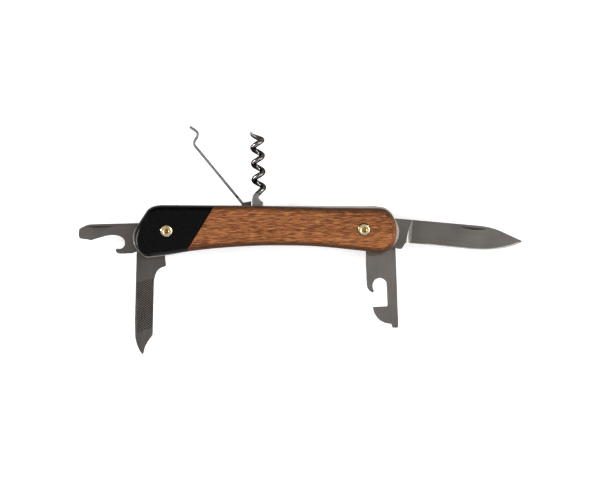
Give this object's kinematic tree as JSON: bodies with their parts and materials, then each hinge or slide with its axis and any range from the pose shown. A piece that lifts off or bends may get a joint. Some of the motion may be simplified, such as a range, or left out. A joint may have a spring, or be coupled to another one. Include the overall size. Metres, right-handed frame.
{
  "type": "folding pocket knife",
  "caption": "Folding camping knife with wood scales and black bolsters: blade, cap lifter, can opener and file fold into the belly, corkscrew and hook into the back.",
  "frame": {"origin": "on the flat outer face of the rear wood scale, near the middle of the handle", "axes": "+X along the handle to the main blade's point, +Y from the belly to the back of the handle, +Z through the thickness to the front scale"},
  "size_m": [0.1574, 0.0812, 0.0156],
  "materials": {
    "wood": "oiled",
    "bolster": "satin black",
    "liner_steel": "fine brushed",
    "spring_steel": "ground",
    "pin_steel": "turned",
    "brass": "polished",
    "tool_steel": "satin",
    "worm_steel": "bright nickel"
  },
  "bodies": {
    "handle": {"front_wood_scale": "wood", "rear_wood_scale": "wood", "front_bolster": "bolster", "rear_bolster": "bolster", "front_liner": "liner_steel", "middle_liner": "liner_steel", "rear_liner": "liner_steel", "front_back_spring": "spring_steel", "rear_back_spring": "spring_steel", "left_pivot_pin": "pin_steel", "right_pivot_pin": "pin_steel", "corkscrew_pin": "pin_steel", "hook_pin": "pin_steel", "spring_pin": "pin_steel", "front_left_rivet": "brass", "front_right_rivet": "brass", "rear_left_rivet": "brass", "rear_right_rivet": "brass"},
    "main_blade": {"main_blade": "tool_steel"},
    "cap_lifter": {"cap_lifter_screwdriver": "tool_steel"},
    "can_opener": {"can_opener": "tool_steel"},
    "nail_file": {"nail_file": "tool_steel"},
    "corkscrew": {"corkscrew": "worm_steel"},
    "hook": {"pick_hook": "tool_steel"}
  },
  "joints": [
    {"name": "main_blade_hinge", "type": "hinge", "parent": "handle", "child": "main_blade", "pos_m": [0.0405, -0.0007, 0.0078], "axis": [0, 0, 1], "range_deg": [-172, 0]},
    {"name": "cap_lifter_hinge", "type": "hinge", "parent": "handle", "child": "cap_lifter", "pos_m": [-0.0405, -0.0028, 0.0078], "axis": [0, 0, 1], "range_deg": [0, 176.6]},
    {"name": "can_opener_hinge", "type": "hinge", "parent": "handle", "child": "can_opener", "pos_m": [0.0405, -0.0007, 0.0078], "axis": [0, 0, 1], "range_deg": [-87.7, 84.6]},
    {"name": "nail_file_hinge", "type": "hinge", "parent": "handle", "child": "nail_file", "pos_m": [-0.0405, -0.0028, 0.0078], "axis": [0, 0, 1], "range_deg": [-87, 91.5]},
    {"name": "corkscrew_hinge", "type": "hinge", "parent": "handle", "child": "corkscrew", "pos_m": [-0.0027, 0.0069, 0.0078], "axis": [0, 0, 1], "range_deg": [-89.3, 0]},
    {"name": "hook_hinge", "type": "hinge", "parent": "handle", "child": "hook", "pos_m": [-0.00595, 0.0064, 0.0078], "axis": [0, 0, 1], "range_deg": [-35, 51.9]}
  ]
}
